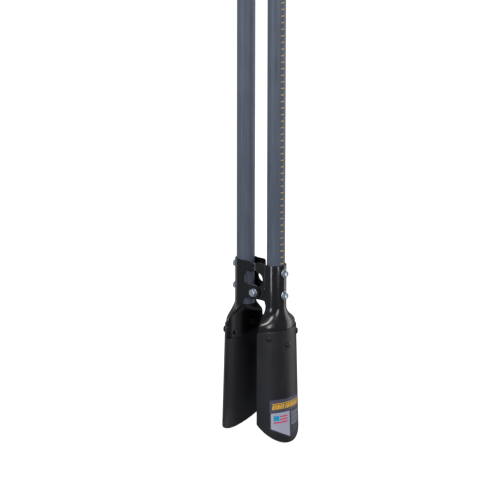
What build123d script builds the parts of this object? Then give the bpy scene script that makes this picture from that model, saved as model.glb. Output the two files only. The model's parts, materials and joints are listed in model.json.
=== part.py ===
"""Clamshell post hole digger with two fibreglass handles.

Two identical halves are hinged on a pair of short bolts.  Each half is a
pressed steel neck wrapped round the foot of a handle, with a curved blade
riveted outside its skirt.  Spreading the handles closes the blades on the soil.

Frame, in millimetres: +Z points up the handles and z = 0 is at the blade points.
X runs from the left handle (-X) to the right handle (+X), and Y is the pivot
axis, with the front of the tool at -Y.  Every piece of a half is modelled on
the right side.  The left half is the same set turned half round about Z.
"""
from build123d import *
import os
from math import cos, pi, radians, sin, tan

# ---------------------------------------------------------------- driving sizes
handle_length = 1219.0          # 48 in fibreglass tube
handle_diameter = 35.0          # 1-3/8 in
handle_wall = 4.0
handle_spacing = 76.0           # between the two handle axes
handle_foot_below_pivot = 29.0  # how far the tube reaches down past the pivot

core_length = 127.0             # hardwood dowel that the bolts clamp on
core_recess = 3.0               # dowel end above the tube's lower end
core_chamfer = 2.0

grip_length = 254.0             # 10 in foam cushion grip
grip_thickness = 3.0
grip_rim_round = 1.8
plug_flange_height = 3.0
plug_flange_round = 1.8
plug_stem_length = 22.0
plug_stem_wall = 2.5

neck_sheet = 2.5                # pressed steel of the neck
neck_fit = 0.5                  # room between the tube and the neck round it
rim_above_pivot = 59.5
tab_height = 19.5               # the clamping tab at the top of each ear
tab_corner_radius = 5.0
ear_slit = 3.4                  # gap between the tabs of the two halves
outer_window_edge = 24.5        # how far the outer ear's window is cut back from the centre
outer_window_radius = 9.0
inner_window_edge = 19.5        # the inner ear's window ends before its step
inner_window_radius = 12.5
lug_radius = 13.0
lug_gap = 0.35                  # between the outer lug and the inner lug
joggle_run = 4.0                # the inner ear steps inwards over this length
joggle_flat = 1.0               # how much nearer the handle the step's inside starts
waist_edge = 29.0               # front edge of the neck just under the lug
waist_fillet = 9.0
flare_top_below_pivot = 23.0    # where the neck starts to spread
flare_height = 36.0
flare_lag = 1.5                 # the inner face follows a little lower, as pressed sheet does
skirt_half_angle = 53.2         # degrees of the skirt each side of X
skirt_side_drop = 21.0          # skirt edge under the blade's top edge, at its sides
skirt_centre_drop = 41.0        # the same at its middle

blade_length = 224.0            # top edge to point
blade_top_radius = 68.6         # outside
blade_splay = 1.5               # degrees, the blade leans out towards its point
blade_half_angle = 55.5
blade_sheet = 2.0
blade_point_radius = 64.4       # round of the cutting edge, seen from the side
blade_corner_radius = 5.0
blade_top_below_pivot = 65.0
blade_seat_gap = 0.1            # paint between the skirt and the blade

rivet_diameter = 6.0
rivet_head_diameter = 12.0
rivet_head_height = 3.0
rivet_tail_diameter = 9.5
rivet_tail_height = 2.0
rivet_head_taper = 12.0         # degrees
side_rivet_angle = 36.0
side_rivet_drop = 13.0          # under the blade's top edge
centre_rivet_drop = 30.5
rivet_bearing_gap = 0.02

bolt_diameter = 7.94            # 5/16 in hexagon bolts throughout
bolt_fit = 0.05                 # radial, in the holes of its own half
hex_across_flats = 12.7
hex_head_height = 5.3
nut_height = 6.7
thread_end_chamfer = 0.8
washer_diameter = 15.9
washer_thickness = 1.6
handle_bolt_length = 50.8       # 2 in
handle_hexagon_turn = 30.0      # degrees, a corner points up
pivot_hexagon_turn = 15.0
upper_bolt_below_rim = 15.0
lower_bolt_below_rim = 58.5

pivot_bolt_length = 19.05       # 3/4 in
pivot_running_fit = 0.08        # radial, in the other half's lug
pivot_end_play = 0.3            # between the inner washer and the other half's lug

label_thickness = 0.25
label_gap = 0.02                # glue between the label and the blade
label_half_angle = 36.0
label_top = 89.5
label_shoulder = 31.0           # height of the label's lower corners
label_point = 9.0               # height of its lowest point
label_corner_radius = 3.0

# -------------------------------------------------------------- worked-out sizes
pivot_height = blade_length + blade_top_below_pivot
rim_height = pivot_height + rim_above_pivot
handle_axis = handle_spacing / 2
handle_radius = handle_diameter / 2
bore_radius = handle_radius - handle_wall
handle_foot = pivot_height - handle_foot_below_pivot
handle_top = handle_foot + handle_length
neck_inner_radius = handle_radius + neck_fit
neck_radius = neck_inner_radius + neck_sheet
outer_lug_inner_face = neck_radius - neck_sheet
inner_lug_outer_face = outer_lug_inner_face - lug_gap
inner_lug_inner_face = inner_lug_outer_face - neck_sheet
flare_top = pivot_height - flare_top_below_pivot
flare_foot = flare_top - flare_height
grip_radius = handle_radius + grip_thickness
upper_bolt_height = rim_height - upper_bolt_below_rim
lower_bolt_height = rim_height - lower_bolt_below_rim
bolt_radius = bolt_diameter / 2
splay_slope = tan(radians(blade_splay))
clear = 10.0                    # how far a cutting shape reaches past what it cuts


def blade_outside(height):
    """Outer radius of the blade's cone at a height."""
    return blade_top_radius + (blade_length - height) * splay_slope


def blade_inside(height):
    return blade_outside(height) - blade_sheet


def skirt_outside(height):
    return blade_inside(height) - blade_seat_gap


def radial_plane(angle):
    """Upright plane through Z: its x is the radius at this angle, its y is height."""
    turn = radians(angle)
    return Plane((0, 0, 0), x_dir=(cos(turn), sin(turn), 0), z_dir=(sin(turn), -cos(turn), 0))


def save(part, name):
    part.label = name
    export_step(part, f"parts/{name}.step")


def save_pair(part, piece):
    """Write a piece of the right half, and the same piece turned round for the left."""
    for side, turn in (("right", 0), ("left", 180)):
        with BuildPart() as placed:
            add(part, rotation=(0, 0, turn))
        save(placed.part, f"{side}_{piece}")


os.makedirs("parts", exist_ok=True)

# ------------------------------------------------------------- handle and its ends
with BuildPart() as handle:
    with BuildSketch(Plane.XY.offset(handle_foot)):
        with Locations((handle_axis, 0)):
            Circle(handle_radius)
            Circle(bore_radius, mode=Mode.SUBTRACT)
    extrude(amount=handle_length)
    with BuildSketch(Plane.YZ.offset(handle_axis)):
        with Locations((0, upper_bolt_height), (0, lower_bolt_height)):
            Circle(bolt_radius + bolt_fit)
    extrude(amount=handle_diameter, both=True, mode=Mode.SUBTRACT)
save_pair(handle.part, "handle")

with BuildPart() as core:
    with BuildSketch(Plane.XY.offset(handle_foot + core_recess)):
        with Locations((handle_axis, 0)):
            Circle(bore_radius - bolt_fit)
    extrude(amount=core_length)
    chamfer(core.edges().group_by(Axis.Z)[-1], core_chamfer)
    with BuildSketch(Plane.YZ.offset(handle_axis)):
        with Locations((0, upper_bolt_height), (0, lower_bolt_height)):
            Circle(bolt_radius + bolt_fit)
    extrude(amount=handle_diameter, both=True, mode=Mode.SUBTRACT)
save_pair(core.part, "handle_core")

with BuildPart() as grip:
    with BuildSketch(Plane.XY.offset(handle_top - grip_length)):
        with Locations((handle_axis, 0)):
            Circle(grip_radius)
            Circle(handle_radius + bolt_fit, mode=Mode.SUBTRACT)
    extrude(amount=grip_length)
    outer_rims = grip.edges().filter_by(GeomType.CIRCLE).group_by(SortBy.RADIUS)[-1]
    fillet(outer_rims, grip_rim_round)
save_pair(grip.part, "grip")

with BuildPart() as plug:
    with BuildSketch(Plane.XY.offset(handle_top)):
        with Locations((handle_axis, 0)):
            Circle(handle_radius)
    extrude(amount=plug_flange_height)
    fillet(plug.edges().group_by(Axis.Z)[-1], plug_flange_round)
    with BuildSketch(Plane.XY.offset(handle_top)):
        with Locations((handle_axis, 0)):
            Circle(bore_radius - bolt_fit)
            Circle(bore_radius - plug_stem_wall, mode=Mode.SUBTRACT)
    extrude(amount=-plug_stem_length)
save_pair(plug.part, "end_plug")


# ---------------------------------------------------------------------- the neck
def neck_outline(inset, spread, skirt_radius, steps=16):
    """Half-plan of the neck's wall, from its front edge round to its rear edge.

    At spread 0 it is the U round the handle, and at spread 1 the arc of the skirt.
    Points are taken at equal shares of each shape's length and blended.
    """
    u_radius = neck_radius - inset
    flank = handle_axis - waist_edge
    half_length = flank + u_radius * pi / 2
    arc_radius = skirt_radius - inset
    points = []
    for step in range(steps + 1):
        share = 2 * step / steps - 1
        along = abs(share) * half_length
        side = 1 if share >= 0 else -1
        if along <= u_radius * pi / 2:
            turn = along / u_radius
            u_point = (handle_axis + u_radius * cos(turn), side * u_radius * sin(turn))
        else:
            u_point = (handle_axis - (along - u_radius * pi / 2), side * u_radius)
        turn = radians(share * skirt_half_angle)
        arc_point = (arc_radius * cos(turn), arc_radius * sin(turn))
        points.append(
            tuple((1 - spread) * u + spread * a for u, a in zip(u_point, arc_point))
        )
    return points


def flare_spread(height):
    """Smooth change from the U (0) at the flare's top to the skirt (1) at its foot."""
    share = min(1.0, max(0.0, (flare_top - height) / flare_height))
    return share * share * (3 - 2 * share)


def wall_section(height, outer, inner):
    """The wall's cross-section at a height, between its outer and inner outlines."""
    with BuildSketch(Plane.XY.offset(height)) as section:
        with BuildLine():
            Spline(*outer)
            Line(outer[-1], inner[-1])
            Spline(*inner[::-1])
            Line(inner[0], outer[0])
        make_face()
    return section.sketch


flare_sections = 8
u_outside = neck_outline(0, 0, skirt_outside(flare_foot))
u_inside = neck_outline(neck_sheet, 0, skirt_outside(flare_foot))
back = handle_axis + neck_radius + clear

# the ears' outlines, seen along the pivot: tab above, window, lug below
with BuildPart() as ear_prism:
    for window_edge, window_radius, reach in (
        (outer_window_edge, outer_window_radius, -back),
        (inner_window_edge, inner_window_radius, back),
    ):
        with BuildSketch(Plane.XZ) as ear_outline:
            with Locations((waist_edge, flare_top)):
                Rectangle(
                    back - waist_edge, rim_height - flare_top, align=(Align.MIN, Align.MIN)
                )
            with Locations((ear_slit / 2, rim_height)):
                Rectangle(back - ear_slit / 2, tab_height, align=(Align.MIN, Align.MAX))
            with Locations((window_edge, pivot_height)):
                Rectangle(
                    back - window_edge, rim_above_pivot, align=(Align.MIN, Align.MIN)
                )
            with Locations((0, pivot_height)):
                Rectangle(back, 2 * lug_radius, align=(Align.MIN, Align.CENTER))
            window_corners = ear_outline.vertices().filter_by(
                lambda v: abs(v.X - window_edge) < 0.01
            )
            fillet(window_corners, window_radius)
            waist_corner = ear_outline.vertices().filter_by(
                lambda v: abs(v.X - waist_edge) < 0.01 and v.Z > flare_top + 0.01
            )
            fillet(waist_corner, waist_fillet)
            tab_corners = ear_outline.vertices().filter_by(
                lambda v: abs(v.X - ear_slit / 2) < 0.01
            )
            fillet(tab_corners, tab_corner_radius)
            with Locations((0, pivot_height)):
                Circle(lug_radius)
        extrude(amount=reach)

with BuildPart() as pressed_neck:
    # upper part: the U round the handle with its two ears, the front one joggled inwards
    with BuildSketch(Plane.XY.offset(flare_top)):
        with BuildLine():
            Spline(*u_outside)
            Polyline(
                u_outside[-1],
                (-lug_radius, neck_radius),
                (-lug_radius, outer_lug_inner_face),
                u_inside[-1],
            )
            Spline(*u_inside[::-1])
            Polyline(
                u_inside[0],
                (waist_edge - joggle_run, -inner_lug_inner_face),
                (-lug_radius, -inner_lug_inner_face),
                (-lug_radius, -inner_lug_outer_face),
                (waist_edge - joggle_run - joggle_flat, -inner_lug_outer_face),
                (waist_edge - joggle_flat, -neck_radius),
                u_outside[0],
            )
        make_face()
    extrude(amount=rim_height - flare_top)

    add(ear_prism.part, mode=Mode.INTERSECT)

    # the flare: U above, skirt arc below
    for number in range(flare_sections + 1):
        height = flare_top - flare_height * number / flare_sections
        outer = neck_outline(0, flare_spread(height), skirt_outside(flare_foot))
        lagged = 1.0 if number == flare_sections else flare_spread(height + flare_lag)
        inner = neck_outline(neck_sheet, lagged, skirt_outside(flare_foot))
        add(wall_section(height, outer, inner))
    loft()

    # the skirt that the blade is riveted to
    skirt_foot = blade_length - skirt_centre_drop
    for height in (flare_foot, skirt_foot):
        outer = neck_outline(0, 1, skirt_outside(height))
        inner = neck_outline(neck_sheet, 1, skirt_outside(height))
        add(wall_section(height, outer, inner))
    loft(ruled=True)
    skirt_corner = skirt_outside(skirt_foot) * sin(radians(skirt_half_angle))
    with BuildSketch(Plane.YZ):
        with BuildLine():
            ThreePointArc(
                (-skirt_corner, blade_length - skirt_side_drop),
                (0, skirt_foot),
                (skirt_corner, blade_length - skirt_side_drop),
            )
            Polyline(
                (skirt_corner, blade_length - skirt_side_drop),
                (skirt_corner + clear, blade_length - skirt_side_drop),
                (skirt_corner + clear, skirt_foot - clear),
                (-skirt_corner - clear, skirt_foot - clear),
                (-skirt_corner - clear, blade_length - skirt_side_drop),
                (-skirt_corner, blade_length - skirt_side_drop),
            )
        make_face()
    extrude(amount=blade_top_radius + clear, mode=Mode.SUBTRACT)

    # holes: handle bolts through the outer wall, pivot through the lugs
    with BuildSketch(Plane.YZ.offset(handle_axis)):
        with Locations((0, upper_bolt_height), (0, lower_bolt_height)):
            Circle(bolt_radius + bolt_fit)
    extrude(amount=back, mode=Mode.SUBTRACT)
    with BuildSketch(Plane.XZ.offset(-back)):
        with Locations((0, pivot_height)):
            Circle(bolt_radius + bolt_fit)
    extrude(amount=back, mode=Mode.SUBTRACT)
    with BuildSketch(Plane.XZ):
        with Locations((0, pivot_height)):
            Circle(bolt_radius + pivot_running_fit)
    extrude(amount=back, mode=Mode.SUBTRACT)


# ---------------------------------------------------------------- blade and rivets
def rivet_plane(angle, drop):
    """Plane on the blade's outer face, facing out, at a rivet's place."""
    height = blade_length - drop
    turn = radians(angle)
    radius = blade_outside(height)
    lean = radians(blade_splay)
    normal = (cos(turn) * cos(lean), sin(turn) * cos(lean), sin(lean))
    return Plane(
        (radius * cos(turn), radius * sin(turn), height),
        x_dir=(-sin(turn), cos(turn), 0),
        z_dir=normal,
    )


rivet_planes = [
    rivet_plane(-side_rivet_angle, side_rivet_drop),
    rivet_plane(0, centre_rivet_drop),
    rivet_plane(side_rivet_angle, side_rivet_drop),
]
riveted_stack = blade_sheet + blade_seat_gap + neck_sheet

with BuildPart() as blade:
    with BuildSketch(radial_plane(-blade_half_angle)):
        with BuildLine():
            Polyline(
                (blade_outside(0), 0),
                (blade_outside(blade_length), blade_length),
                (blade_inside(blade_length), blade_length),
                (blade_inside(0), 0),
                close=True,
            )
        make_face()
    revolve(axis=Axis.Z, revolution_arc=2 * blade_half_angle)
    with BuildSketch(Plane.YZ):
        with Locations((0, blade_point_radius)):
            Circle(blade_point_radius)
            Rectangle(
                2 * blade_point_radius, blade_length, align=(Align.CENTER, Align.MIN)
            )
    extrude(amount=blade_outside(0) + clear, mode=Mode.INTERSECT)
    corner_edges = blade.edges().filter_by(
        lambda e: e.length < 1.6 * blade_sheet and abs(e.center().Y) > blade_top_radius / 2
    )
    fillet(corner_edges, blade_corner_radius)
    for plane in rivet_planes:
        with BuildSketch(plane):
            Circle(rivet_diameter / 2)
        extrude(amount=2 * riveted_stack, both=True, mode=Mode.SUBTRACT)
save_pair(blade.part, "blade")

with BuildPart() as neck:
    add(pressed_neck.part)
    for plane in rivet_planes:
        with BuildSketch(plane):
            Circle(rivet_diameter / 2)
        extrude(amount=2 * riveted_stack, both=True, mode=Mode.SUBTRACT)
save_pair(neck.part, "neck")

with BuildPart() as rivets:
    for plane in rivet_planes:
        with BuildSketch(plane.offset(rivet_bearing_gap)):
            Circle(rivet_head_diameter / 2)
        extrude(amount=rivet_head_height, taper=rivet_head_taper)
        with BuildSketch(plane.offset(rivet_bearing_gap)):
            Circle(rivet_diameter / 2)
        extrude(amount=-(riveted_stack + 3 * rivet_bearing_gap + rivet_tail_height))
        # the closed end bears on a hollow face, so it stands off by that face's rise
        tail_rise = rivet_tail_diameter ** 2 / 8 / (blade_top_radius - riveted_stack)
        with BuildSketch(plane.offset(-riveted_stack - tail_rise - rivet_bearing_gap)):
            Circle(rivet_tail_diameter / 2)
        extrude(amount=-rivet_tail_height)
save_pair(rivets.part, "blade_rivets")


# ---------------------------------------------------------------- handle fasteners
hexagon_radius = hex_across_flats / 2 / cos(radians(30))
bolt_heights = (upper_bolt_height, lower_bolt_height)
washer_seat = handle_axis + neck_radius
head_seat = washer_seat + washer_thickness
nut_washer_seat = handle_axis - handle_radius
nut_seat = nut_washer_seat - washer_thickness

with BuildPart() as handle_bolts:
    for height in bolt_heights:
        with BuildSketch(Plane.YZ.offset(head_seat)):
            with Locations((0, height)):
                RegularPolygon(hexagon_radius, 6, rotation=handle_hexagon_turn)
        extrude(amount=hex_head_height)
        with BuildSketch(Plane.YZ.offset(head_seat)):
            with Locations((0, height)):
                Circle(bolt_radius)
        extrude(amount=-handle_bolt_length)
    thread_ends = handle_bolts.edges().filter_by(GeomType.CIRCLE).group_by(Axis.X)[0]
    chamfer(thread_ends, thread_end_chamfer)
save_pair(handle_bolts.part, "handle_bolts")

with BuildPart() as handle_washers:
    for seat in (washer_seat, nut_seat):
        with BuildSketch(Plane.YZ.offset(seat)):
            with Locations(*[(0, height) for height in bolt_heights]):
                Circle(washer_diameter / 2)
                Circle(bolt_radius + bolt_fit, mode=Mode.SUBTRACT)
        extrude(amount=washer_thickness)
save_pair(handle_washers.part, "handle_washers")

with BuildPart() as handle_nuts:
    with BuildSketch(Plane.YZ.offset(nut_seat)):
        with Locations(*[(0, height) for height in bolt_heights]):
            RegularPolygon(hexagon_radius, 6, rotation=handle_hexagon_turn)
            Circle(bolt_radius + bolt_fit, mode=Mode.SUBTRACT)
    extrude(amount=-nut_height)
save_pair(handle_nuts.part, "handle_nuts")

# ---------------------------------------------------------------- pivot fasteners
# Modelled at the rear, where the right half has the outer lug, and turned to the front.
pivot_head_seat = neck_radius + washer_thickness
pivot_inner_seat = inner_lug_inner_face - pivot_end_play
pivot_nut_seat = pivot_inner_seat - washer_thickness


def save_pivot(part, piece):
    for place, turn in (("rear", 0), ("front", 180)):
        with BuildPart() as placed:
            add(part, rotation=(0, 0, turn))
        save(placed.part, f"{place}_pivot_{piece}")


with BuildPart() as pivot_bolt:
    with BuildSketch(Plane.XZ.offset(-pivot_head_seat)):
        with Locations((0, pivot_height)):
            RegularPolygon(hexagon_radius, 6, rotation=pivot_hexagon_turn)
    extrude(amount=-hex_head_height)
    with BuildSketch(Plane.XZ.offset(-pivot_head_seat)):
        with Locations((0, pivot_height)):
            Circle(bolt_radius)
    extrude(amount=pivot_bolt_length)
    thread_end = pivot_bolt.edges().filter_by(GeomType.CIRCLE).group_by(Axis.Y)[0]
    chamfer(thread_end, thread_end_chamfer)
save_pivot(pivot_bolt.part, "bolt")

with BuildPart() as pivot_washers:
    for seat in (pivot_head_seat, pivot_inner_seat):
        with BuildSketch(Plane.XZ.offset(-seat)):
            with Locations((0, pivot_height)):
                Circle(washer_diameter / 2)
                Circle(bolt_radius + bolt_fit, mode=Mode.SUBTRACT)
        extrude(amount=washer_thickness)
save_pivot(pivot_washers.part, "washers")

with BuildPart() as pivot_nut:
    with BuildSketch(Plane.XZ.offset(-pivot_nut_seat)):
        with Locations((0, pivot_height)):
            RegularPolygon(hexagon_radius, 6, rotation=pivot_hexagon_turn)
            Circle(bolt_radius + bolt_fit, mode=Mode.SUBTRACT)
    extrude(amount=nut_height)
save_pivot(pivot_nut.part, "nut")

# ------------------------------------------------------------------- blade label
with BuildPart() as label:
    with BuildSketch(radial_plane(-label_half_angle)):
        with BuildLine():
            Polyline(
                (blade_outside(0) + label_thickness, 0),
                (blade_outside(label_top) + label_thickness, label_top),
                (blade_outside(label_top) + label_gap, label_top),
                (blade_outside(0) + label_gap, 0),
                close=True,
            )
        make_face()
    revolve(axis=Axis.Z, revolution_arc=2 * label_half_angle)
    label_reach = blade_outside(0) * sin(radians(label_half_angle)) + label_thickness
    with BuildSketch(Plane.YZ) as label_outline:
        with BuildLine():
            Polyline(
                (0, label_point),
                (label_reach, label_shoulder),
                (label_reach, label_top),
                (-label_reach, label_top),
                (-label_reach, label_shoulder),
                close=True,
            )
        make_face()
        fillet(label_outline.vertices().sort_by(Axis.Z)[0], label_corner_radius)
    extrude(amount=blade_outside(0) + clear, mode=Mode.INTERSECT)
save(label.part, "blade_label")
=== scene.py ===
# %% [markdown]
# # A clamshell post hole digger
# The tool is two long fibreglass handles whose feet are wrapped in pressed steel necks.
# A curved blade is riveted to each neck, and the two necks are hinged on a pair of short bolts.
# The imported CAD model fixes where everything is. This file gives each piece its made shape and finish.
# Pieces are drawn in millimetres, because their sizes are, and are turned to metres when they are placed.

# %% Load the frame and read the places that the pieces are built from
import json
from math import atan2, cos, pi, radians, sin, sqrt, tan

import bmesh
import bpy
from mathutils import Matrix, Vector


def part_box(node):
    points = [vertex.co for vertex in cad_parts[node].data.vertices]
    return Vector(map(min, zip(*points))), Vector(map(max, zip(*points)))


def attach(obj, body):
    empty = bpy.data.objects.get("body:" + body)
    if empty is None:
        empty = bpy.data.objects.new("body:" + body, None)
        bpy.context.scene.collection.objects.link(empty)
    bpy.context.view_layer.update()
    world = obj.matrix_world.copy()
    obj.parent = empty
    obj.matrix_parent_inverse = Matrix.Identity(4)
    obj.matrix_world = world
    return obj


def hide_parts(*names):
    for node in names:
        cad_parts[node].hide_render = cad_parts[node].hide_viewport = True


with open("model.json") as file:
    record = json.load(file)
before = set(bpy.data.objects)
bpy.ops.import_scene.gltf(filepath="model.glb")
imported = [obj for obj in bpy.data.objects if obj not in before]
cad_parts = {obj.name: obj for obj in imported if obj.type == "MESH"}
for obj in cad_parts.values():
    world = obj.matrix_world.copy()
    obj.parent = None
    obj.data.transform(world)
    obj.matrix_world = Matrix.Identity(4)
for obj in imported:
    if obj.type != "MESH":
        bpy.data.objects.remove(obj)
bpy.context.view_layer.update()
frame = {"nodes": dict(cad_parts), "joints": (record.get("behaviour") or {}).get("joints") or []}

MM = 0.001
scene = bpy.context.scene


def box_mm(node):
    """A CAD node's lowest and highest corners, in millimetres."""
    low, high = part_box(node)
    return low / MM, high / MM


pivot_height = frame["joints"][0]["pos_m"][2] / MM
tube_low, tube_high = box_mm("right_handle")
neck_low, neck_high = box_mm("right_neck")
blade_high = box_mm("right_blade")[1]
handle_axis = (tube_low.x + tube_high.x) / 2
tube_radius = (tube_high.x - tube_low.x) / 2
rim_height = neck_high.z
print(f"handle axis {handle_axis:.1f} mm, tube radius {tube_radius:.2f} mm, rim {rim_height:.1f} mm")

# %% [markdown]
# ## Camera
# A product picture of a long tool is taken from far off with a long lens, so that its lines stay nearly
# parallel. The camera stands about nine metres away, a little above the blades, and looks slightly down.
# It is placed by a bearing round the tool and an elevation, which is easier to reason about than x, y and z.

# %% Camera
bearing = radians(40.5)
elevation = radians(14.66)
camera_distance = 8.93
aim_height = 0.3694
aim_left = 0.0207
camera_roll = radians(0.12)

to_camera = Vector((sin(bearing) * cos(elevation), -cos(bearing) * cos(elevation), sin(elevation)))
picture_right = Vector((cos(bearing), sin(bearing), 0))
camera = bpy.data.objects.new("camera", bpy.data.cameras.new("camera"))
scene.collection.objects.link(camera)
scene.camera = camera
camera.data.lens = 335.5
camera.data.sensor_width = 36
camera.data.clip_end = 250
camera.location = Vector((0, 0, aim_height)) - aim_left * picture_right + camera_distance * to_camera
facing = (-to_camera).to_track_quat("-Z", "Y").to_matrix()
camera.rotation_euler = (facing @ Matrix.Rotation(camera_roll, 3, "Z")).to_euler()
print("camera stands at", [round(value, 3) for value in camera.location])

# %% [markdown]
# ## Colours and nodes
# Colours are picked as sRGB hex values, which is how a person reads them off a paint card, while Blender
# mixes light in linear values. One function turns the first into the second.
# One more function adds any shader node, sets its options, and fills or links its inputs.

# %% Colour and node helpers
def colour(hex_value):
    """Linear RGBA of an sRGB hex colour."""
    channels = [int(hex_value[i:i + 2], 16) / 255 for i in (1, 3, 5)]
    linear = [c / 12.92 if c <= 0.04045 else ((c + 0.055) / 1.055) ** 2.4 for c in channels]
    return (*linear, 1.0)


def add_node(tree, kind, inputs=None, **options):
    """A new shader node. Inputs are given by name or number, as a value or as a socket to link."""
    made = tree.nodes.new(kind)
    for option, value in options.items():
        setattr(made, option, value)
    for name, value in (inputs or {}).items():
        if isinstance(value, bpy.types.NodeSocket):
            tree.links.new(value, made.inputs[name])
        else:
            made.inputs[name].default_value = value
    return made


def start_material(name):
    """An empty node material, and its tree."""
    made = bpy.data.materials.new(name)
    made.use_nodes = True
    made.node_tree.nodes.clear()
    return made, made.node_tree


def grain(tree, across, along, detail=3.0):
    """Noise whose spots are so many millimetres across and, up the handles, along."""
    coordinates = add_node(tree, "ShaderNodeTexCoord")
    stretch = add_node(tree, "ShaderNodeMapping", {
        "Vector": coordinates.outputs["Object"],
        "Scale": (1 / (across * MM), 1 / (across * MM), 1 / (along * MM)),
    })
    noise = add_node(tree, "ShaderNodeTexNoise", {
        "Vector": stretch.outputs[0], "Scale": 1.0, "Detail": detail, "Roughness": 0.55,
    })
    return noise.outputs["Fac"]


def spread(tree, value, low, high):
    """A value from 0.3 to 0.7, where noise mostly lies, spread from low to high."""
    ranged = add_node(tree, "ShaderNodeMapRange", {
        "Value": value, "From Min": 0.3, "From Max": 0.7, "To Min": low, "To Max": high,
    })
    return ranged.outputs["Result"]


def tint(tree, share, first, second):
    """A colour between two hex colours."""
    mixed = add_node(tree, "ShaderNodeMix", {
        0: share, 6: colour(first), 7: colour(second),
    }, data_type="RGBA")
    return mixed.outputs[2]


def relief(tree, height, depth, strength=1.0, under=None):
    """A bump so many millimetres deep, on top of another if one is given."""
    inputs = {"Height": height, "Distance": depth * MM, "Strength": strength}
    if under:
        inputs["Normal"] = under
    return add_node(tree, "ShaderNodeBump", inputs).outputs["Normal"]


def close_material(tree, **inputs):
    """The surface shader, with its inputs given in plain words."""
    surface = add_node(tree, "ShaderNodeBsdfPrincipled", {
        name.replace("_", " "): value for name, value in inputs.items()
    })
    add_node(tree, "ShaderNodeOutputMaterial", {"Surface": surface.outputs[0]})


# %% [markdown]
# ## Floor and light
# The tool stands on a plain pale floor in a white studio. Black enamel shows its shape only by what it
# reflects, so the lamps are tall soft boxes: their reflections draw the vertical streaks down the necks
# and blades. The floor is kept out of the reflections, or it would grey every black part.

# %% Floor
studio_radius = 60              # further off than any camera, or the wall would hide the tool
floor_mesh = bpy.data.meshes.new("floor")
floor_shape = bmesh.new()
bmesh.ops.create_grid(floor_shape, x_segments=1, y_segments=1, size=studio_radius)
bmesh.ops.translate(floor_shape, verts=floor_shape.verts, vec=(0, 0, -0.4 * MM))
floor_shape.to_mesh(floor_mesh)
floor_shape.free()
floor = bpy.data.objects.new("floor", floor_mesh)
scene.collection.objects.link(floor)
floor.visible_glossy = False
floor.visible_diffuse = False

floor_material, tree = start_material("matt_white_floor")
close_material(tree, Base_Color=colour("#f4f4f2"), Roughness=0.9,
               Emission_Color=colour("#ffffff"), Emission_Strength=0.85)
floor_mesh.materials.append(floor_material)

# %% White wall behind everything, which neither lights nor shades the tool
wall_shape = bmesh.new()
bmesh.ops.create_circle(wall_shape, segments=64, radius=studio_radius)
grown = bmesh.ops.extrude_edge_only(wall_shape, edges=wall_shape.edges)["geom"]
wall_tops = [part for part in grown if isinstance(part, bmesh.types.BMVert)]
bmesh.ops.translate(wall_shape, verts=wall_tops, vec=(0, 0, studio_radius))
wall_mesh = bpy.data.meshes.new("wall")
wall_shape.to_mesh(wall_mesh)
wall_shape.free()
wall = bpy.data.objects.new("wall", wall_mesh)
scene.collection.objects.link(wall)
wall.visible_glossy = wall.visible_diffuse = wall.visible_shadow = False
wall_mesh.materials.append(floor_material)

# %% Lights
lamp_aim = Vector((0, 0, 0.30))     # the necks


def soft_box(name, round_from_camera, up, distance, width, height, power, shade="#ffffff"):
    """A rectangular lamp that faces the necks, placed by its bearing from the camera's."""
    lamp = bpy.data.lights.new(name, "AREA")
    lamp.shape = "RECTANGLE"
    lamp.size = width
    lamp.size_y = height
    lamp.energy = power
    lamp.color = colour(shade)[:3]
    held = bpy.data.objects.new(name, lamp)
    turn = bearing + radians(round_from_camera)
    rise = radians(up)
    away = Vector((sin(turn) * cos(rise), -cos(turn) * cos(rise), sin(rise)))
    held.location = lamp_aim + distance * away
    held.rotation_euler = (-away).to_track_quat("-Z", "Y").to_euler()
    scene.collection.objects.link(held)


soft_box("key", 27, 18, 3.0, 0.55, 2.1, 26)
soft_box("fill", -50, 14, 3.2, 0.5, 2.8, 44, "#eef6ff")
soft_box("overhead", 8, 62, 2.8, 0.6, 0.6, 14)
soft_box("right_rim", 114, 10, 2.6, 1.4, 2.6, 20)
soft_box("left_rim", -125, 10, 2.8, 1.2, 2.6, 7)

world = bpy.data.worlds.new("studio")
scene.world = world
world.use_nodes = True
backdrop = world.node_tree.nodes["Background"]
backdrop.inputs["Color"].default_value = colour("#e9edf2")
backdrop.inputs["Strength"].default_value = 0.26
scene.view_settings.view_transform = "Standard"

# %% [markdown]
# ## Finishes
# Each finish is named for what the real surface is. Patterns are sized in real millimetres.

# %% Pultruded fibreglass tube
def make_fibreglass():
    """Resin tube pulled with its glass running lengthways: long pale streaks under a satin skin."""
    made, tree = start_material("slate_fibreglass")
    streaks = grain(tree, across=1.4, along=70)
    clouds = grain(tree, across=25, along=60, detail=1)
    slate = tint(tree, spread(tree, streaks, 0, 1), "#4c5261", "#5e6775")
    veil = add_node(tree, "ShaderNodeMix", {
        0: spread(tree, clouds, 0, 0.25), 6: slate, 7: colour("#6f7886"),
    }, data_type="RGBA")
    close_material(
        tree, Base_Color=veil.outputs[2], Roughness=spread(tree, streaks, 0.4, 0.5), IOR=1.52,
        Normal=relief(tree, streaks, depth=0.03),
    )
    return made


# %% Stoved gloss enamel on the pressed necks
def make_gloss_enamel():
    """Black stoving enamel: deep gloss with the faint orange peel of sprayed paint."""
    made, tree = start_material("gloss_black_enamel")
    peel = grain(tree, across=2.2, along=2.2, detail=1)
    dust = grain(tree, across=9, along=14)
    close_material(
        tree, Base_Color=tint(tree, spread(tree, dust, 0, 1), "#0a0a0e", "#101015"),
        Roughness=spread(tree, dust, 0.2, 0.28), IOR=1.5,
        Coat_Weight=0.3, Coat_Roughness=0.08,
        Normal=relief(tree, peel, depth=0.02),
    )
    return made


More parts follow.
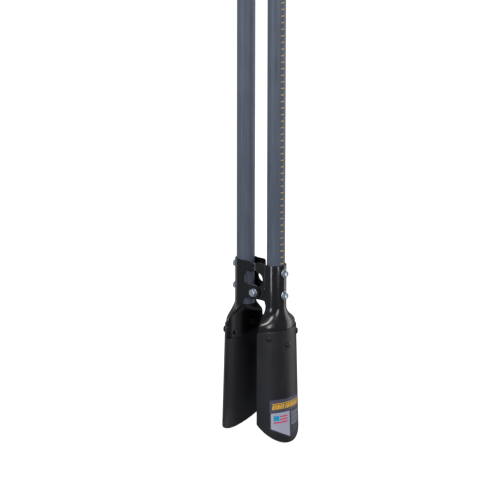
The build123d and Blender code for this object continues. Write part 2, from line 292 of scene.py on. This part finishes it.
# %% Satin powder coat on the blades
def make_satin_powder_coat():
    """Baked powder coat: satin black with a fine even pebble and slight clouding."""
    made, tree = start_material("satin_black_powder_coat")
    pebble = grain(tree, across=0.9, along=0.9, detail=2)
    clouds = grain(tree, across=30, along=70, detail=2)
    close_material(
        tree, Base_Color=tint(tree, spread(tree, clouds, 0, 1), "#1b1b20", "#232329"),
        Roughness=spread(tree, clouds, 0.36, 0.46), IOR=1.5,
        Normal=relief(tree, pebble, depth=0.02),
    )
    return made


# %% Bright zinc plate on the fasteners
def make_zinc_plate():
    """Electroplated zinc over steel: blue-white metal with soft patches and turning lines."""
    made, tree = start_material("bright_zinc_plate")
    patches = grain(tree, across=1.6, along=1.6, detail=2)
    close_material(
        tree, Base_Color=tint(tree, spread(tree, patches, 0, 1), "#c6d2e2", "#eaf0f6"),
        Metallic=1.0, Roughness=spread(tree, patches, 0.2, 0.38),
        Normal=relief(tree, patches, depth=0.01),
    )
    return made


# %% Blackened steel rivets
def make_blackened_steel():
    """Rivets set before painting: enamel lies thin over the hammered head."""
    made, tree = start_material("painted_black_rivet")
    dents = grain(tree, across=2.5, along=2.5, detail=2)
    close_material(
        tree, Base_Color=tint(tree, spread(tree, dents, 0, 1), "#111113", "#1b1b1e"),
        Roughness=spread(tree, dents, 0.26, 0.4), IOR=1.5,
        Normal=relief(tree, dents, depth=0.06),
    )
    return made


# %% Closed cell foam of the grips
def make_foam():
    """Extruded rubber foam: matt black skin pitted by burst cells under a millimetre wide."""
    made, tree = start_material("closed_cell_foam")
    cells = grain(tree, across=1.1, along=1.3, detail=4)
    lumps = grain(tree, across=6, along=9, detail=2)
    skin = relief(tree, lumps, depth=0.25)
    close_material(
        tree, Base_Color=tint(tree, spread(tree, cells, 0, 1), "#121213", "#2a2a2c"),
        Roughness=0.88, Specular_IOR_Level=0.35, Sheen_Weight=0.12, Sheen_Roughness=0.5,
        Normal=relief(tree, cells, depth=0.35, under=skin),
    )
    return made


# %% Moulded polyethylene of the end plugs
def make_moulded_plastic():
    """Soft black polyethylene with the fine spark-eroded texture of its mould."""
    made, tree = start_material("moulded_polyethylene")
    erosion = grain(tree, across=0.5, along=0.5, detail=3)
    close_material(
        tree, Base_Color=tint(tree, spread(tree, erosion, 0, 1), "#171718", "#232325"),
        Roughness=spread(tree, erosion, 0.42, 0.56), IOR=1.5,
        Normal=relief(tree, erosion, depth=0.05),
    )
    return made


# %% Turned hardwood of the cores
def make_hardwood():
    """Ash dowel: pale wood with darker pore lines a millimetre apart running along it."""
    made, tree = start_material("ash_dowel")
    pores = grain(tree, across=0.9, along=40, detail=4)
    rings = grain(tree, across=5, along=160, detail=2)
    pale = tint(tree, spread(tree, pores, 0, 1), "#c49a63", "#9a6f3f")
    banded = add_node(tree, "ShaderNodeMix", {
        0: spread(tree, rings, 0, 0.55), 6: pale, 7: colour("#7f5a33"),
    }, data_type="RGBA")
    close_material(
        tree, Base_Color=banded.outputs[2], Roughness=0.62, IOR=1.5,
        Normal=relief(tree, pores, depth=0.12),
    )
    return made


# %% Printed vinyl
def make_vinyl(name, hex_value, scuffed):
    """Glossy printed vinyl film: flat ink, dulled in small scuffs by handling and soil."""
    made, tree = start_material(name)
    scuffs = grain(tree, across=2.4, along=3.5, detail=5)
    close_material(
        tree, Base_Color=tint(tree, spread(tree, scuffs, 0, 1), hex_value, scuffed),
        Roughness=spread(tree, scuffs, 0.24, 0.4), IOR=1.5,
    )
    return made


# %% Make every finish once
finishes = {
    "fibreglass": make_fibreglass(),
    "neck_enamel": make_gloss_enamel(),
    "blade_enamel": make_satin_powder_coat(),
    "zinc": make_zinc_plate(),
    "black_rivet": make_blackened_steel(),
    "foam": make_foam(),
    "plug": make_moulded_plastic(),
    "core_wood": make_hardwood(),
    "label_film": make_vinyl("label_film", "#34333f", "#403f4c"),
    "label_header": make_vinyl("label_header_ink", "#5f5d70", "#525062"),
    "label_amber": make_vinyl("label_amber_ink", "#ffd23c", "#ffb52e"),
    "label_pale": make_vinyl("label_pale_ink", "#cacce0", "#babcd0"),
    "label_dark": make_vinyl("label_dark_ink", "#454450", "#3c3b46"),
    "label_line": make_vinyl("label_line_ink", "#d8dae8", "#b4b6c6"),
    "label_teal": make_vinyl("label_teal_ink", "#22b4e4", "#2aa0c8"),
    "label_rose": make_vinyl("label_rose_ink", "#f4507e", "#dc5076"),
    "ruler_amber": make_vinyl("ruler_amber_ink", "#ffd04e", "#efb43c"),
}
for node in frame["nodes"].values():
    slot = node.data.materials[0].name
    node.data.materials.clear()
    node.data.materials.append(finishes[slot])
print(len(finishes), "finishes")

# %% [markdown]
# ## Placing a finished piece
# Every piece is drawn for the right half of the tool. The left half is the same set turned half round
# about the tool's middle line, just as the two real halves are the same pressing.

# %% Placing helpers
half_turn = Matrix.Rotation(pi, 4, "Z")
crease = radians(32)


def place(shape, name, body, slot, turned=False, node=None, finish=None):
    """Turn a bmesh in millimetres into a piece of the object that rides on a body."""
    mesh = bpy.data.meshes.new(name)
    for edge in shape.edges:
        edge.smooth = len(edge.link_faces) == 2 and edge.calc_face_angle() < crease
    for face in shape.faces:
        face.smooth = True
    shape.to_mesh(mesh)
    mesh.transform(Matrix.Scale(MM, 4))
    if turned:
        mesh.transform(half_turn)
    piece = bpy.data.objects.new(name, mesh)
    scene.collection.objects.link(piece)
    mesh.materials.append(finishes[finish or slot])
    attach(piece, body)
    if node:
        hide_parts(node)
    return piece


def place_pair(shape, piece, slot):
    """The same shape on the right half and, turned round, on the left half."""
    made = []
    for side, turned in (("right", False), ("left", True)):
        node = f"{side}_{piece}"
        made.append(place(shape, f"{node}_made", f"{side}_half", slot, turned, node))
    print(piece, len(shape.faces), "faces")
    shape.free()
    return made


def lathe(profile, steps=96):
    """A closed outline of (radius, height) points spun once round the Z axis."""
    shape = bmesh.new()
    points = [shape.verts.new((radius, 0, height)) for radius, height in profile]
    for first, second in zip(points, points[1:] + points[:1]):
        shape.edges.new((first, second))
    bmesh.ops.spin(
        shape, geom=shape.verts[:] + shape.edges[:], cent=(0, 0, 0), axis=(0, 0, 1),
        angle=2 * pi, steps=steps, use_merge=True,
    )
    bmesh.ops.remove_doubles(shape, verts=shape.verts, dist=1e-4)
    bmesh.ops.recalc_face_normals(shape, faces=shape.faces)
    return shape


def move(shape, vector):
    bmesh.ops.translate(shape, verts=shape.verts, vec=vector)
    return shape


def rounded(points, radius, steps=4):
    """An outline whose corners are rounded. A point is (x, y), or (x, y, its own radius)."""
    outline = []
    count = len(points)
    for number, corner in enumerate(points):
        here = Vector(corner[:2])
        size = corner[2] if len(corner) > 2 else radius
        back = Vector(points[number - 1][:2]) - here
        ahead = Vector(points[(number + 1) % count][:2]) - here
        if size <= 0:
            outline.append(tuple(here))
            continue
        angle = back.angle(ahead)
        reach = size / tan(angle / 2)
        centre = here + (back.normalized() + ahead.normalized()).normalized() * size / sin(angle / 2)
        start = here + back.normalized() * reach - centre
        end = here + ahead.normalized() * reach - centre
        for step in range(steps + 1):
            outline.append(tuple(centre + size * start.slerp(end, step / steps).normalized()))
    return outline


# %% [markdown]
# ## Handles, cores, grips and plugs
# These are all round, so each is half an outline spun about the handle's axis. A tube spun in ninety-six
# steps has no visible corners in its outline. Edges are rounded a little, as sawn and moulded ends are.

# %% Handles and cores
grip_low, grip_high = box_mm("right_grip")
core_low, core_high = box_mm("right_handle_core")
bore_radius = core_high.x - handle_axis
handle_shape = lathe(rounded([
    (bore_radius, tube_low.z), (tube_radius, tube_low.z),
    (tube_radius, tube_high.z), (bore_radius, tube_high.z),
], 0.6))
place_pair(move(handle_shape, (handle_axis, 0, 0)), "handle", "fibreglass")

core_shape = lathe([
    (0, core_low.z), (bore_radius - 0.8, core_low.z), (bore_radius - 0.1, core_low.z + 0.7),
    (bore_radius - 0.1, core_high.z - 2), (bore_radius - 2, core_high.z), (0, core_high.z),
], 48)
place_pair(move(core_shape, (handle_axis, 0, 0)), "handle_core", "core_wood")

# %% Foam grips
grip_outer = grip_high.x - handle_axis
grip_shape = lathe(rounded([
    (tube_radius + 0.05, grip_low.z, 0.3), (grip_outer, grip_low.z, 2.2),
    (grip_outer, grip_high.z, 2.2), (tube_radius + 0.05, grip_high.z, 0.3),
], 0.3, steps=6))
move(grip_shape, (handle_axis, 0, 0))
for grip in place_pair(grip_shape, "grip", "foam"):
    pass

# %% End plugs
plug_low, plug_high = box_mm("right_end_plug")
plug_shape = lathe(rounded([
    (0, plug_high.z - 0.3, 0), (tube_radius - 3.5, plug_high.z, 2),
    (tube_radius - 0.05, plug_high.z - 0.9, 1.1), (tube_radius - 0.05, tube_high.z, 0.3),
    (bore_radius - 0.1, tube_high.z, 0),
    (bore_radius - 0.4, plug_low.z, 0.8), (bore_radius - 2.5, plug_low.z, 0.4),
    (bore_radius - 2.5, tube_high.z - 0.2, 0.6), (0, tube_high.z - 0.2, 0),
], 0.3))
place_pair(move(plug_shape, (handle_axis, 0, 0)), "end_plug", "plug")

# %% [markdown]
# ## Bolts, nuts and washers
# The eye knows a bolt by three things: six flats whose corners are turned off by a cone, a thread, and a
# round washer under the head. A ring of seventy-two points follows the hexagon, and each new ring is
# extruded from the last one. Where the cone cuts the corners the ring dips, which gives the curved edge
# that a real head has.

# %% Hexagon heads and nuts
across_flats = 12.7
bolt_radius = 7.94 / 2
head_height = 5.3
nut_height = 6.7
flat_end = 0.95 * across_flats / 2
unmoved = Matrix.Identity(4)


def hexagon(turn):
    """Distance from the middle to the hexagon's side in this direction."""
    return across_flats / 2 / cos(turn % (pi / 3) - pi / 6)


def six_sided(levels):
    """A closed solid of rings. A ring is (radius, height), or ("flats", height, way the cone dips)."""
    shape = bmesh.new()
    bmesh.ops.create_circle(shape, segments=72, radius=1)
    ring, edges = shape.verts[:], shape.edges[:]
    for number, (radius, height, *way) in enumerate(levels):
        if number:
            grown = bmesh.ops.extrude_edge_only(shape, edges=edges)["geom"]
            ring = [part for part in grown if isinstance(part, bmesh.types.BMVert)]
            grown_edges = [part for part in grown if isinstance(part, bmesh.types.BMEdge)]
            edges = [edge for edge in grown_edges if set(edge.verts) <= set(ring)]
        for vert in ring:
            turn = atan2(vert.co.y, vert.co.x)
            reach = hexagon(turn) if way else radius
            dip = way[0] * (reach - flat_end) * tan(radians(30)) if way else 0
            vert.co = (reach * cos(turn), reach * sin(turn), height + dip)
    bmesh.ops.remove_doubles(shape, verts=shape.verts, dist=1e-4)
    bmesh.ops.holes_fill(shape, edges=shape.edges, sides=0)
    bmesh.ops.recalc_face_normals(shape, faces=shape.faces)
    return shape


# %% [markdown]
# A thread is a zigzag line that is spun once round the bolt while it climbs by one pitch. Each turn then
# ends where the next one starts, so merging the doubled points joins them into one continuous helix.

# %% Threads
thread_pitch = 25.4 / 18
thread_depth = 0.8


def threaded_rod(low, high, steps=36):
    shape = bmesh.new()
    zigzag = []
    for number in range(int((high - low) / thread_pitch) + 4):
        foot = low + (number - 2) * thread_pitch
        for depth, share in ((0, 0), (0, 0.12), (thread_depth, 0.5), (thread_depth, 0.62)):
            zigzag.append(shape.verts.new((bolt_radius - depth, 0, foot + share * thread_pitch)))
    for first, second in zip(zigzag, zigzag[1:]):
        shape.edges.new((first, second))
    bmesh.ops.spin(
        shape, geom=shape.verts[:] + shape.edges[:], cent=(0, 0, 0), axis=(0, 0, 1),
        dvec=(0, 0, thread_pitch / steps), angle=2 * pi, steps=steps, use_merge=False,
    )
    bmesh.ops.remove_doubles(shape, verts=shape.verts, dist=1e-3)
    for cut, way in ((low, -1), (high, 1)):
        bmesh.ops.bisect_plane(
            shape, geom=shape.verts[:] + shape.edges[:] + shape.faces[:], dist=1e-5,
            plane_co=(0, 0, cut), plane_no=(0, 0, way), clear_outer=True,
        )
    bmesh.ops.holes_fill(shape, edges=shape.edges, sides=0)
    bmesh.ops.recalc_face_normals(shape, faces=shape.faces)
    return shape


def stamped(*stamps):
    """One shape made of copies of others. Each stamp is a shape and the matrix that puts it in place."""
    made = bmesh.new()
    for shape, matrix in stamps:
        mould = bpy.data.meshes.new("mould")
        shape.to_mesh(mould)
        mould.transform(matrix)
        made.from_mesh(mould)
        bpy.data.meshes.remove(mould)
    return made


# %% The three fastener shapes, each standing on z = 0
def hex_bolt(length, threaded):
    """Head above z = 0, plain shank and thread below."""
    plain = six_sided([
        (flat_end * 0.5, head_height - 0.2), (flat_end * 0.62, head_height), (flat_end, head_height),
        ("flats", head_height, -1), ("flats", 0.3, 0), (flat_end, 0.3), (flat_end, 0),
        (bolt_radius + 0.35, 0), (bolt_radius, -0.35), (bolt_radius, threaded - length),
    ])
    thread = threaded_rod(0.6 - length, threaded - length)
    end = lathe([
        (0, -length), (bolt_radius - thread_depth, -length),
        (bolt_radius - thread_depth / 2, 0.6 - length), (0, 0.6 - length),
    ], 36)
    return stamped((plain, unmoved), (thread, unmoved), (end, unmoved))


nut_shape = six_sided([
    (bolt_radius - thread_depth / 2, 0.9), (bolt_radius + 0.35, 0), (flat_end, 0), ("flats", 0, 1),
    ("flats", nut_height, -1), (flat_end, nut_height), (bolt_radius + 0.35, nut_height),
    (bolt_radius - thread_depth / 2, nut_height - 0.9), (bolt_radius - thread_depth / 2, 0.9),
])
washer_thickness = 1.6
washer_radius = 15.9 / 2
washer_shape = lathe(rounded([
    (bolt_radius + 0.1, 0, 0.1), (washer_radius, 0, 0.15),
    (washer_radius, washer_thickness, 0.6), (bolt_radius + 0.1, washer_thickness, 0.4),
], 0.3), 72)

# %% Handle fasteners, along X
bolts_low, bolts_high = box_mm("right_handle_bolts")
washers_low, washers_high = box_mm("right_handle_washers")
nuts_low = box_mm("right_handle_nuts")[0]
hex_corner = across_flats / 2 / cos(pi / 6)
along_x = Matrix.Rotation(pi / 2, 4, "Y")
handle_bolt = hex_bolt(bolts_high.x - head_height - bolts_low.x, 19)
bolts, washers, nuts = [], [], []
for height in (bolts_low.z + hex_corner, bolts_high.z - hex_corner):
    bolts.append((handle_bolt, Matrix.Translation((bolts_high.x - head_height, 0, height)) @ along_x))
    nuts.append((nut_shape, Matrix.Translation((nuts_low.x, 0, height)) @ along_x))
    for seat in (washers_low.x, washers_high.x - washer_thickness):
        washers.append((washer_shape, Matrix.Translation((seat, 0, height)) @ along_x))
place_pair(stamped(*bolts), "handle_bolts", "zinc")
place_pair(stamped(*washers), "handle_washers", "zinc")
place_pair(stamped(*nuts), "handle_nuts", "zinc")

# %% Pivot fasteners, along Y: the rear set sits on the right half, the front set on the left half
pivot_bolt_low, pivot_bolt_high = box_mm("rear_pivot_bolt")
pivot_washers_low, pivot_washers_high = box_mm("rear_pivot_washers")
pivot_nut_low = box_mm("rear_pivot_nut")[0]
along_y = Matrix.Rotation(-pi / 2, 4, "X") @ Matrix.Rotation(radians(15), 4, "Z")


def on_pivot(distance):
    return Matrix.Translation((0, distance, pivot_height)) @ along_y


pivot_bolt = hex_bolt(pivot_bolt_high.y - head_height - pivot_bolt_low.y, 14)
pivot_pieces = {
    "bolt": stamped((pivot_bolt, on_pivot(pivot_bolt_high.y - head_height))),
    "washers": stamped((washer_shape, on_pivot(pivot_washers_low.y)),
                       (washer_shape, on_pivot(pivot_washers_high.y - washer_thickness))),
    "nut": stamped((nut_shape, on_pivot(pivot_nut_low.y))),
}
for piece, shape in pivot_pieces.items():
    for spot, body, turned in (("rear", "right_half", False), ("front", "left_half", True)):
        node = f"{spot}_pivot_{piece}"
        place(shape, f"{node}_made", body, "zinc", turned, node)
    print("pivot", piece, len(shape.faces), "faces")

# %% [markdown]
# ## Blades
# A blade is one sheet rolled to part of a cone, with a round point that cuts the soil. A flat grid is
# bent onto the cone, its lower edge follows the round point, and its upper corners are rounded. Giving
# the sheet its thickness afterwards keeps both faces parallel, as rolled steel is.

# %% Blade sheet
blade_splay = radians(1.5)
blade_half_angle = radians(55.5)
blade_sheet = 2.0
blade_point_round = 64.4
blade_corner = 5.0
edge_round = 0.45


def blade_radius(height):
    """Outer radius of the blade's cone at a height."""
    return blade_high.x - height * tan(blade_splay)


def blade_point(turn):
    """Height of the cutting edge in this direction round the tool."""
    height = 0
    for _ in range(6):      # each round brings the height nearer to the cone's own radius there
        across = min(blade_radius(height) * abs(sin(turn)), blade_point_round)
        height = blade_point_round - sqrt(blade_point_round ** 2 - across ** 2)
    return height


def blade_top(turn):
    """Height of the top edge, which falls away round the corner at each side."""
    inward = min(blade_corner, (blade_half_angle - abs(turn)) * blade_radius(blade_high.z))
    return blade_high.z - blade_corner + sqrt(blade_corner ** 2 - (blade_corner - inward) ** 2)


def sheet_metal(shape, thickness):
    """Give a bent sheet its thickness, inwards from its outer face, and take the sharpness off its rims."""
    bmesh.ops.recalc_face_normals(shape, faces=shape.faces)
    outermost = max(shape.faces, key=lambda face: face.calc_center_median().x)
    if outermost.normal.x < 0:
        bmesh.ops.reverse_faces(shape, faces=shape.faces)
    bmesh.ops.solidify(shape, geom=shape.faces[:], thickness=thickness)
    rims = [edge for edge in shape.edges if edge.is_manifold and edge.calc_face_angle() > radians(55)]
    bmesh.ops.bevel(
        shape, geom=rims, offset=edge_round, offset_type="OFFSET", affect="EDGES", segments=3,
        profile=0.5, material=-1, clamp_overlap=True,
    )
    return shape


blade_shape = bmesh.new()
bmesh.ops.create_grid(blade_shape, x_segments=72, y_segments=48, size=1)
for vert in blade_shape.verts:
    turn = blade_half_angle * sin(vert.co.x * pi / 2)
    low, high = blade_point(turn), blade_top(turn)
    height = low + (vert.co.y + 1) / 2 * (high - low)
    vert.co = (blade_radius(height) * cos(turn), blade_radius(height) * sin(turn), height)
sheet_metal(blade_shape, blade_sheet)
place_pair(blade_shape, "blade", "blade_enamel")

# %% [markdown]
# ## Rivets
# Three pan-headed rivets hold each blade to its neck. Each is an outline spun about its own axis, head
# outside and hammered end inside, and is then stood square on the cone.

# %% Rivets
neck_sheet = 2.5
seat_gap = 0.1
stack = blade_sheet + seat_gap + neck_sheet
tail_seat = -stack - 0.25
rivet_shape = lathe(rounded([
    (0, 3.0, 0), (3.6, 3.0, 2.5), (5.7, 1.7, 1.2), (6.0, 0.02, 0.2), (3.0, 0.02, 0), (3.0, tail_seat, 0),
    (4.75, tail_seat, 0.3), (4.5, tail_seat - 2.0, 1.0), (0, tail_seat - 2.0, 0),
], 0.2), 48)


def on_blade(turn, below_top):
    """The matrix that stands a piece square on the blade's outer face."""
    height = blade_high.z - below_top
    lean = Matrix.Rotation(pi / 2 - blade_splay, 4, "Y")
    return Matrix.Rotation(turn, 4, "Z") @ Matrix.Translation((blade_radius(height), 0, height)) @ lean


side_rivet_turn, side_rivet_drop, middle_rivet_drop = radians(36), 13, 30.5
rivet_places = [
    on_blade(-side_rivet_turn, side_rivet_drop), on_blade(0, middle_rivet_drop),
    on_blade(side_rivet_turn, side_rivet_drop),
]
place_pair(stamped(*[(rivet_shape, spot) for spot in rivet_places]), "blade_rivets", "black_rivet")

# %% [markdown]
# ## Necks
# Each neck is one pressing. Sheet steel is folded in a U round the handle, spreads below into a wide
# skirt inside the blade, and keeps two flat ears that carry the hinge. One ear is plain and one, here the
# front one, is stepped inwards, so that it slips behind the plain ear of the other neck.
# The outer face is drawn first: a grid for the wall, and a flat outline for each ear. The sheet is given
# its thickness last, as on the blade.

# %% Neck sizes
neck_fit = 0.5
neck_radius = tube_radius + neck_fit + neck_sheet
lug_radius = 13.0
waist = 29.0
waist_fillet = 9.0
rear_window = (24.5, 9.0)       # its depth from the middle, and the rounding of its corners
front_window = (19.5, 12.5)     # shallower, because the step begins beside it
tab_foot = rim_height - 19.5
tab_side = 1.7
tab_corner = 5.0
ear_step = neck_sheet + 0.35
flare_top = pivot_height - 23
flare_foot = flare_top - 36
skirt_half_angle = radians(53.2)
skirt_rise = 20.0


def skirt_radius(height):
    return blade_radius(height) - blade_sheet - seat_gap


def skirt_foot(turn):
    """Height of the skirt's lower edge, which bows down towards the middle."""
    half_width = skirt_radius(neck_low.z) * sin(skirt_half_angle)
    round_radius = (half_width ** 2 + skirt_rise ** 2) / (2 * skirt_rise)
    across = min(skirt_radius(neck_low.z) * abs(sin(turn)), half_width)
    return neck_low.z + round_radius - sqrt(round_radius ** 2 - across ** 2)


# %% Neck wall
quarter = neck_radius * pi / 2
flank = handle_axis - waist
one_side = [quarter * step / 24 for step in range(24)] + [quarter + flank * step / 6 for step in range(7)]
columns = [-along for along in reversed(one_side[1:])] + one_side
flare_rows, skirt_rows = 26, 10
straight = [rim_height, pivot_height - lug_radius - waist_fillet]
row_count = len(straight) + flare_rows + 1 + skirt_rows


def folded(along):
    """A point of the U round the handle, this far round from its outermost line."""
    side = 1 if along >= 0 else -1
    if abs(along) <= quarter:
        turn = along / neck_radius
        return Vector((handle_axis + neck_radius * cos(turn), neck_radius * sin(turn)))
    return Vector((handle_axis + quarter - abs(along), side * neck_radius))


def wall_point(along, row):
    """A point of the neck's outer face. Rows count down from the rim."""
    turn = along / (quarter + flank) * skirt_half_angle
    if row < len(straight):
        return (*folded(along), straight[row])
    down = row - len(straight)
    if down <= flare_rows:
        share = down / flare_rows
        height = flare_top + (flare_foot - flare_top) * share
        opened = share * share * (3 - 2 * share)
        skirt = skirt_radius(flare_foot) * Vector((cos(turn), sin(turn)))
        return (*folded(along).lerp(skirt, opened), height)
    share = (down - flare_rows) / skirt_rows
    height = flare_foot + (skirt_foot(turn) - flare_foot) * share
    return (skirt_radius(height) * cos(turn), skirt_radius(height) * sin(turn), height)


neck_shape = bmesh.new()
bmesh.ops.create_grid(neck_shape, x_segments=len(columns) - 1, y_segments=row_count - 1, size=1)
for vert in neck_shape.verts:
    column = round((vert.co.x + 1) / 2 * (len(columns) - 1))
    row = round((1 - vert.co.y) / 2 * (row_count - 1))
    vert.co = wall_point(columns[column], row)

# %% Neck ears
lug_top, lug_foot = pivot_height + lug_radius, pivot_height - lug_radius


def ear_outline(window_side, window_fillet):
    """An ear seen along the pivot: down the tab, round the window and the lug, to the waist."""
    outline = rounded([
        (waist, rim_height, 0), (tab_side, rim_height, tab_corner), (tab_side, tab_foot, tab_corner),
        (window_side, tab_foot, window_fillet), (window_side, lug_top, window_fillet),
        (0, lug_top, 0),
    ], 0, steps=8)
    for step in range(1, 24):
        turn = pi * step / 24
        outline.append((-lug_radius * sin(turn), pivot_height + lug_radius * cos(turn)))
    outline.append((0, lug_foot))
    for step in range(9):
        turn = pi / 2 * (1 - step / 8)
        outline.append((
            waist - waist_fillet * (1 - cos(turn)), lug_foot - waist_fillet * (1 - sin(turn)),
        ))
    return outline


ears = []
for y, window in ((neck_radius, rear_window), (-neck_radius, front_window)):
    corners = [neck_shape.verts.new((x, y, z)) for x, z in ear_outline(*window)]
    ears.append(neck_shape.faces.new(corners))

# %% [markdown]
# The front ear is cut into narrow upright strips where it steps inwards. Sliding those strips back along
# a smooth curve gives the soft double bend of a pressed step.

# %% Step in the front ear
step_start, step_run, step_strips = waist - 1, 4.0, 8
front_ear = {ears[1], *ears[1].edges, *ears[1].verts}
for cut in range(step_strips + 1):
    split = bmesh.ops.bisect_plane(
        neck_shape, geom=list(front_ear), dist=1e-4,
        plane_co=(step_start - step_run * cut / step_strips, 0, 0), plane_no=(1, 0, 0),
    )
    front_ear = set(split["geom"]) | set(split["geom_cut"])
for vert in neck_shape.verts:
    if vert.co.x < step_start and vert.co.y < 0 and vert.co.z > lug_foot - waist_fillet:
        share = min(1, (step_start - vert.co.x) / step_run)
        vert.co.y += ear_step * share * share * (3 - 2 * share)
bmesh.ops.remove_doubles(neck_shape, verts=neck_shape.verts, dist=1e-3)
sheet_metal(neck_shape, neck_sheet)
print("open edges in the neck:", sum(len(edge.link_faces) != 2 for edge in neck_shape.edges))
place_pair(neck_shape, "neck", "neck_enamel")

# %% [markdown]
# ## Label
# The real label is a vinyl sticker wrapped on the blade, with a headline, a picture and fine print. This
# one keeps its five-sided outline and its blocks of colour, and says nothing: slanted bars stand for the
# headline, a plain block and stripes for the picture and hairlines for the print.
# The art is drawn flat, each ink as a thin raised layer. It is then cut into narrow strips, so that it can
# bend, and is wrapped round the blade.

# %% Flat art and wrapping
label_low, label_high = box_mm("blade_label")
label_top = label_high.z
label_radius = blade_radius((label_low.z + label_top) / 2)
label_half = label_radius * radians(36)
label_shoulder = 31.0
film_gap, film_top, ink_step = 0.03, 0.2, 0.04


def flat_art(outlines, low, high, strip=3.0):
    """Raised flat shapes, cut into upright strips. x is the way round, y the lift, z the height."""
    shape = bmesh.new()
    for outline in outlines:
        shape.faces.new([shape.verts.new((x, low, z)) for x, z in outline])
    bmesh.ops.recalc_face_normals(shape, faces=shape.faces)
    for face in shape.faces:
        if face.normal.y < 0:
            face.normal_flip()
    bmesh.ops.solidify(shape, geom=shape.faces[:], thickness=low - high)
    bmesh.ops.recalc_face_normals(shape, faces=shape.faces)
    widest = max(abs(vert.co.x) for vert in shape.verts)
    for number in range(-int(widest / strip), int(widest / strip) + 1):
        bmesh.ops.bisect_plane(
            shape, geom=shape.verts[:] + shape.edges[:] + shape.faces[:], dist=1e-4,
            plane_co=(number * strip, 0, 0), plane_no=(1, 0, 0),
        )
    return shape


def wrap(shape, radius_at, true_at, start=0.0, axis=0.0):
    """Bend flat art round an upright cone or tube. Widths are true at the radius true_at."""
    for vert in shape.verts:
        turn = start + vert.co.x / true_at
        reach = radius_at(vert.co.z) + vert.co.y
        vert.co = (axis + reach * cos(turn), reach * sin(turn), vert.co.z)
    return shape


def label_layer(name, finish, outlines, layer, node=None):
    """One ink of the label. Layer 0 is the film itself, and each higher one is printed on the last."""
    low = film_gap if layer == 0 else film_top + (layer - 1) * ink_step
    high = film_top + layer * ink_step
    shape = wrap(flat_art(outlines, low, high), blade_radius, label_radius)
    bmesh.ops.recalc_face_normals(shape, faces=shape.faces)
    place(shape, name, "right_half", "label_film", node=node, finish=finish)
    print(name, len(shape.faces), "faces")
    shape.free()


def slanted(left, right, low, high, slant):
    """An upright-edged bar leaning to the right by so many millimetres."""
    return [(left, low), (right, low), (right + slant, high), (left + slant, high)]


# %% Label blocks
border = 3.0
header_foot = label_top - 26
point = label_low.z


def lower_edge(across, inset):
    """Height of the label's slanted lower edge, lifted by a border."""
    return point + inset + (label_shoulder - point) * abs(across) / label_half


label_layer("label_sheet", "label_film", [rounded([
    (0, point, 3), (label_half, label_shoulder, 1), (label_half, label_top, 1.5),
    (-label_half, label_top, 1.5), (-label_half, label_shoulder, 1),
], 1)], 0, node="blade_label")
label_layer("label_header", "label_header", [[
    (-label_half + 0.8, header_foot + 1), (label_half - 0.8, header_foot + 1),
    (label_half - 0.8, label_top - 0.8), (-label_half + 0.8, label_top - 0.8),
]], 1)
label_layer("label_panel", "label_pale", [[
    (-label_half + border, lower_edge(label_half - border, border)), (0.8, lower_edge(0, border)),
    (0.8, header_foot - 0.5), (-label_half + border, header_foot - 0.5),
]], 1)
label_layer("label_dark_panel", "label_dark", [[
    (2.2, lower_edge(2.2, border)), (label_half - border, lower_edge(label_half - border, border)),
    (label_half - border, header_foot - 0.5), (2.2, header_foot - 0.5),
]], 1)

# %% Headline of slanted bars, picture of a block and stripes, and hairlines
bars = [slanted(-label_half + 5, label_half - 6, label_top - 9.2, label_top - 7.6, 0.4)]
across = -label_half + 5
for width in (4.6, 3.4, 5.2, 3.8, 4.4, 0, 3.6, 5.0, 3.4, 4.6, 3.8, 4.2, 3.0, 4.4):
    if width:
        bars.append(slanted(across, across + width, label_top - 19.5, label_top - 10.4, 2.2))
    across += width + 1.3
label_layer("label_headline", "label_amber", bars, 2)

art_left, art_right = -label_half + 8, -5.0
stripes = [slanted(art_left + start, art_right, height, height + 2.8, 0)
           for start, height in ((14, 53.6), (14, 48.0), (0, 42.4))]
label_layer("label_stripes", "label_rose", stripes, 2)
label_layer("label_block", "label_teal", [rounded([
    (art_left + 0.5, 47.2), (art_left + 12.5, 47.2), (art_left + 12.5, 57.5), (art_left + 0.5, 57.5),
], 1.0)], 2)
print_lines = [
    [(5, z), (5 + length, z), (5 + length, z + 0.7), (5, z + 0.7)]
    for z, length in zip((59, 56.5, 54, 51.5, 48, 45.5, 43, 39.5, 37, 34.5),
                         (33, 31, 34, 22, 33, 30, 26, 32, 28, 20))
]
label_layer("label_print", "label_line", print_lines, 2)

# %% [markdown]
# ## Depth marks
# The right handle carries a printed rule, so that the digger can read the hole's depth. Every mark starts
# on the same upright line, and one stands at every half inch.

# %% Depth marks
rule_start = radians(-20)
half_inch = 12.7
rule_top = grip_low.z - 20
mark_length, mark_height = 7.0, 1.7
marks = []
for number in range(int((rule_top - rim_height) / half_inch)):
    foot = rim_height + 3 + number * half_inch
    marks.append(slanted(0, mark_length, foot, foot + mark_height, 0))
ink = flat_art(marks, 0.01, 0.07, strip=1.75)
rule_shape = wrap(ink, lambda height: tube_radius, tube_radius, rule_start, handle_axis)
place(rule_shape, "depth_marks", "right_half", "label_film", finish="ruler_amber")
print("depth marks:", len(marks))
